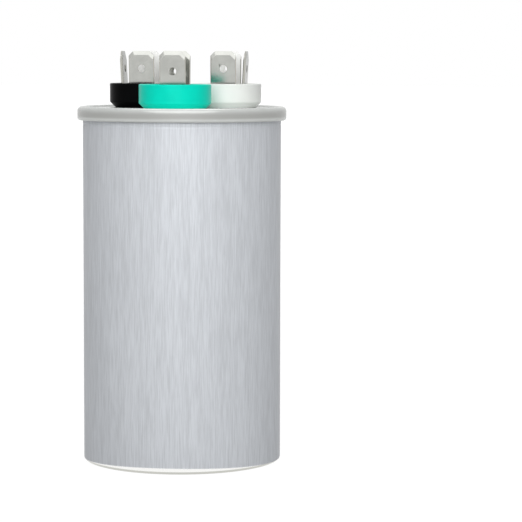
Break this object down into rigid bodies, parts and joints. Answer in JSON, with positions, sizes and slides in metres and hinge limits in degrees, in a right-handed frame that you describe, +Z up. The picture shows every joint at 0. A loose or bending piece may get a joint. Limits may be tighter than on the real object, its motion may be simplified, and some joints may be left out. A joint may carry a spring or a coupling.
{
  "type": "motor run capacitor",
  "caption": "Round dual-run motor capacitor in a seamed aluminium can, with coloured terminal cups holding quick-connect blades on its cover.",
  "frame": {"origin": "centre of the can's flat base, on the surface it stands on", "axes": "+Z up along the can's axis to the terminals; -Y toward the fan terminal's cup, +X toward the compressor terminal's side"},
  "size_m": [0.05, 0.05, 0.0982],
  "materials": {
    "can_aluminium": "brushed along the can, satin",
    "cover_tinplate": "rolled sheet, satin",
    "seam_compound": "dull",
    "black_plastic": "smooth moulding, semi-gloss",
    "turquoise_plastic": "smooth moulding, semi-gloss",
    "white_plastic": "smooth moulding, semi-gloss",
    "tinned_brass": "bright tin plate, rolled grain",
    "plated_rivet": "bright plated",
    "black_rubber": "matte",
    "hard_paper": "resin-bonded paper, satin",
    "tag_brass": "tinned brass",
    "insulator_plastic": "natural polypropylene",
    "insulating_board": "pressboard, matte",
    "core_plastic": "natural plastic tube",
    "metallised_film": "metallised film, end-on layers",
    "plain_film": "clear film, wound",
    "sprayed_zinc": "sprayed, granular",
    "black_insulation": "soft plastic insulation",
    "green_insulation": "soft plastic insulation",
    "red_insulation": "soft plastic insulation"
  },
  "bodies": {
    "root": {"can": "can_aluminium", "lid": "cover_tinplate", "seam_compound": "seam_compound", "common_cup": "black_plastic", "fan_cup": "turquoise_plastic", "compressor_cup": "white_plastic", "common_blades": "tinned_brass", "fan_blades": "tinned_brass", "compressor_blades": "tinned_brass", "common_rivet": "plated_rivet", "fan_rivet": "plated_rivet", "compressor_rivet": "plated_rivet", "common_gasket": "black_rubber", "fan_gasket": "black_rubber", "compressor_gasket": "black_rubber", "common_washer": "hard_paper", "fan_washer": "hard_paper", "compressor_washer": "hard_paper", "common_tag": "tag_brass", "fan_tag": "tag_brass", "compressor_tag": "tag_brass", "common_lead": "black_insulation", "fan_lead": "green_insulation", "compressor_lead": "red_insulation", "top_insulator": "insulator_plastic", "base_insulator": "insulator_plastic", "sleeve": "insulating_board", "core_tube": "core_plastic", "fan_winding": "metallised_film", "section_film": "plain_film", "compressor_winding": "metallised_film", "common_spray": "sprayed_zinc", "fan_spray": "sprayed_zinc", "compressor_spray": "sprayed_zinc"}
  },
  "joints": []
}
